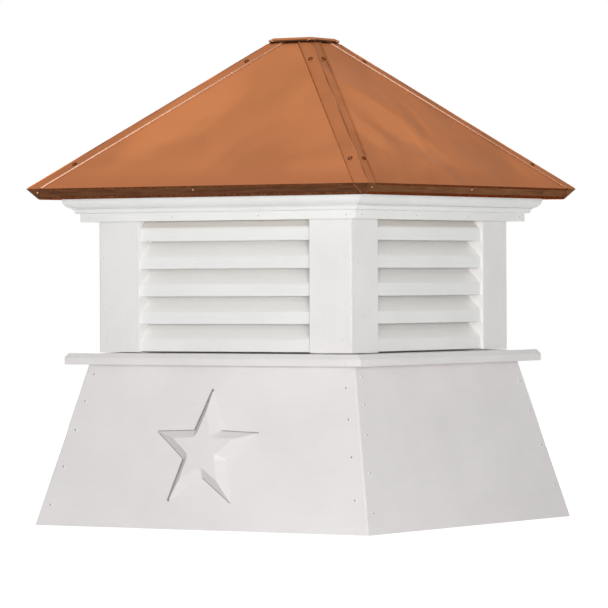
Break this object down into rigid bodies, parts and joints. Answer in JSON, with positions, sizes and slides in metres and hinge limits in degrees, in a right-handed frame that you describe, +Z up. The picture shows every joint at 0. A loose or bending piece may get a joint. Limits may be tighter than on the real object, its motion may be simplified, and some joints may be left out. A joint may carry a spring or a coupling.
{
  "type": "barn cupola",
  "caption": "Square louvred roof cupola with a flared base, sill, sloped louvre blades, crown moulding and a hipped copper roof; a raised star marks the front.",
  "frame": {"origin": "centre of the base, on the plane it rests on", "axes": "+Z up, the star on the front faces -Y, +X to its right"},
  "size_m": [0.7822, 0.7822, 0.9469],
  "materials": {
    "white_pvc": "satin white cellular PVC",
    "louvre_pvc": "satin white cellular PVC",
    "copper": "bare rolled copper sheet",
    "plywood": "bare sheathing plywood"
  },
  "bodies": {
    "root": {"base_corner_cleats": "white_pvc", "base_panel_back": "white_pvc", "base_panel_front": "white_pvc", "base_panel_left": "white_pvc", "base_panel_right": "white_pvc", "base_star": "white_pvc", "corner_board_back_left": "white_pvc", "corner_board_back_right": "white_pvc", "corner_board_front_left": "white_pvc", "corner_board_front_right": "white_pvc", "corner_board_left_back": "white_pvc", "corner_board_left_front": "white_pvc", "corner_board_right_back": "white_pvc", "corner_board_right_front": "white_pvc", "crown_back": "white_pvc", "crown_front": "white_pvc", "crown_left": "white_pvc", "crown_right": "white_pvc", "frieze_back": "white_pvc", "frieze_front": "white_pvc", "frieze_left": "white_pvc", "frieze_right": "white_pvc", "hip_cap_back_left": "copper", "hip_cap_front_right": "copper", "hip_cap_left_front": "copper", "hip_cap_right_back": "copper", "louvre_blades_back": "louvre_pvc", "louvre_blades_front": "louvre_pvc", "louvre_blades_left": "louvre_pvc", "louvre_blades_right": "louvre_pvc", "louvre_jambs": "louvre_pvc", "roof_deck_back": "plywood", "roof_deck_front": "plywood", "roof_deck_left": "plywood", "roof_deck_right": "plywood", "roof_panel_back": "copper", "roof_panel_front": "copper", "roof_panel_left": "copper", "roof_panel_right": "copper", "sill_back": "white_pvc", "sill_front": "white_pvc", "sill_left": "white_pvc", "sill_right": "white_pvc", "soffit": "white_pvc", "top_cap": "copper"}
  },
  "joints": []
}
